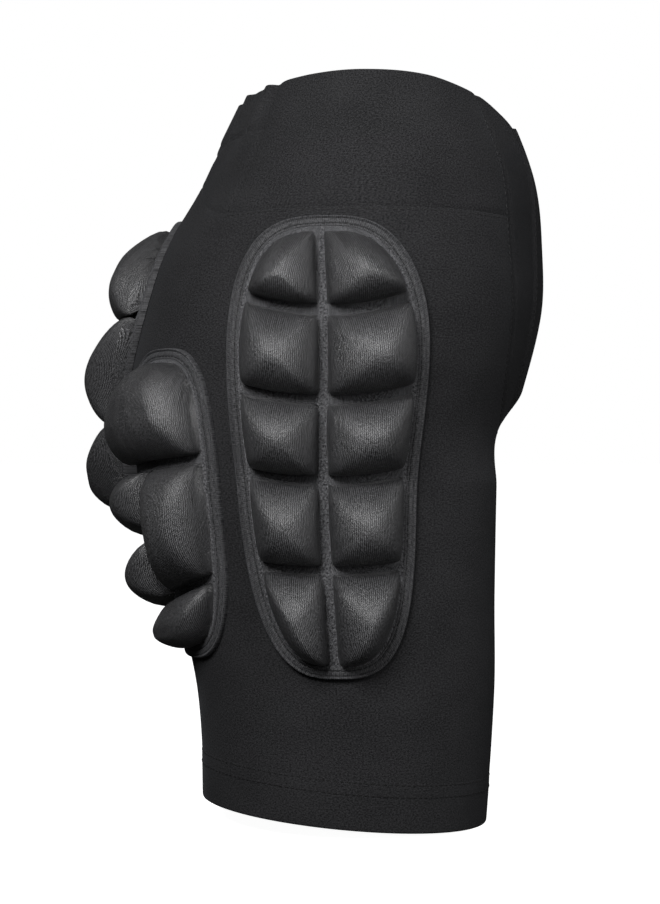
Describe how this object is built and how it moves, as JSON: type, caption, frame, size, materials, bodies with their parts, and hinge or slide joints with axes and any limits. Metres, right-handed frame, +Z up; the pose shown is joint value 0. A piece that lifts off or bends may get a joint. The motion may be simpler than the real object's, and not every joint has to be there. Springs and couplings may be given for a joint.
{
  "type": "padded impact shorts",
  "caption": "Close-fitting stretch shorts with pillow-celled foam pads at the hips, tailbone and back of the thighs, and an elastic waist.",
  "frame": {"origin": "centre of the waist opening, level with the middle of its rim", "axes": "+Z up along the body, -Y the way the wearer faces, -X the wearer's right side"},
  "size_m": [0.4064, 0.307, 0.4632],
  "materials": {
    "jersey": "matt black stretch jersey",
    "dark_jersey": "matt black stretch jersey",
    "rib_knit": "black ribbed knit with a sheen",
    "binding_tape": "black woven tape",
    "backing_fabric": "black brushed knit",
    "elastic": "black woven elastic",
    "foam": "closed-cell foam"
  },
  "bodies": {
    "pelvis": {"back_waist_panel": "dark_jersey", "waist_elastic": "elastic", "waist_facing": "dark_jersey", "right_yoke": "jersey", "left_yoke": "jersey", "right_front_panel": "dark_jersey", "left_front_panel": "dark_jersey", "right_side_panel": "jersey", "left_side_panel": "jersey", "crotch_gusset": "dark_jersey", "tailbone_pad_backing": "backing_fabric", "tailbone_pad_foam": "foam", "tailbone_pad_cover": "rib_knit", "tailbone_pad_binding": "binding_tape"},
    "right_leg": {"right_thigh_panel": "jersey", "right_inner_leg_panel": "jersey", "right_hem": "jersey", "right_hip_pad_backing": "backing_fabric", "right_hip_pad_foam": "foam", "right_hip_pad_cover": "rib_knit", "right_hip_pad_binding": "binding_tape", "right_glute_pad_backing": "backing_fabric", "right_glute_pad_foam": "foam", "right_glute_pad_cover": "rib_knit", "right_glute_pad_binding": "binding_tape"},
    "left_leg": {"left_thigh_panel": "jersey", "left_inner_leg_panel": "jersey", "left_hem": "jersey", "left_hip_pad_backing": "backing_fabric", "left_hip_pad_foam": "foam", "left_hip_pad_cover": "rib_knit", "left_hip_pad_binding": "binding_tape", "left_glute_pad_backing": "backing_fabric", "left_glute_pad_foam": "foam", "left_glute_pad_cover": "rib_knit", "left_glute_pad_binding": "binding_tape"}
  },
  "joints": [
    {"name": "right_hip_flex", "type": "hinge", "parent": "pelvis", "child": "right_leg", "pos_m": [-0.088, 0.031, -0.15], "axis": [-1, 0, 0], "range_deg": [-15, 60], "deforming": ["right_side_panel", "right_front_panel", "crotch_gusset"]},
    {"name": "left_hip_flex", "type": "hinge", "parent": "pelvis", "child": "left_leg", "pos_m": [0.088, 0.031, -0.15], "axis": [-1, 0, 0], "range_deg": [-15, 60], "deforming": ["left_side_panel", "left_front_panel"]}
  ]
}
